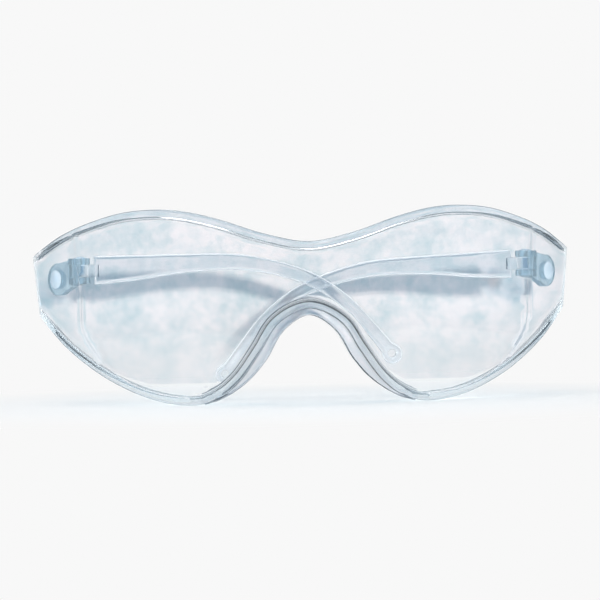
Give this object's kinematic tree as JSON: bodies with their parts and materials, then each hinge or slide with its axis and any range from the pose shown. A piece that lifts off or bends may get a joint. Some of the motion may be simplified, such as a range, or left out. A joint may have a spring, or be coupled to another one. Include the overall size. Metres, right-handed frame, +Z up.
{
  "type": "pollen protection glasses",
  "caption": "Clear wraparound protective visor with rim wall, soft nose pad and folding side arms on pinned hinges.",
  "frame": {"origin": "under the middle of the visor's box, at the height of its lowest edge", "axes": "+Z up as worn, the lens faces -Y, +X towards the wearer's left; both temples folded behind the lens at rest"},
  "size_m": [0.156, 0.042, 0.0534],
  "materials": {
    "clear_polycarbonate": "clear, polished, faintly blue",
    "temple_polycarbonate": "clear, polished, faintly blue",
    "hinge_polycarbonate": "clear, blue where thick",
    "rivet_plastic": "clear, polished",
    "soft_clear_elastomer": "clear, soft satin"
  },
  "bodies": {
    "front": {"visor": "clear_polycarbonate", "nose_pad": "soft_clear_elastomer", "hinge_bracket_left": "hinge_polycarbonate", "hinge_bracket_right": "hinge_polycarbonate", "bracket_rivet_left": "rivet_plastic", "bracket_rivet_right": "rivet_plastic", "hinge_pin_left": "rivet_plastic", "hinge_pin_right": "rivet_plastic"},
    "left_temple": {"temple_left": "temple_polycarbonate"},
    "right_temple": {"temple_right": "temple_polycarbonate"}
  },
  "joints": [
    {"name": "left_temple_fold", "type": "hinge", "parent": "front", "child": "left_temple", "pos_m": [0.06265, 0.00973, 0.0374], "axis": [0, 0, -1], "range_deg": [0, 88.7]},
    {"name": "right_temple_fold", "type": "hinge", "parent": "front", "child": "right_temple", "pos_m": [-0.06265, 0.00973, 0.0374], "axis": [0, 0, 1], "range_deg": [0, 91.3]}
  ]
}
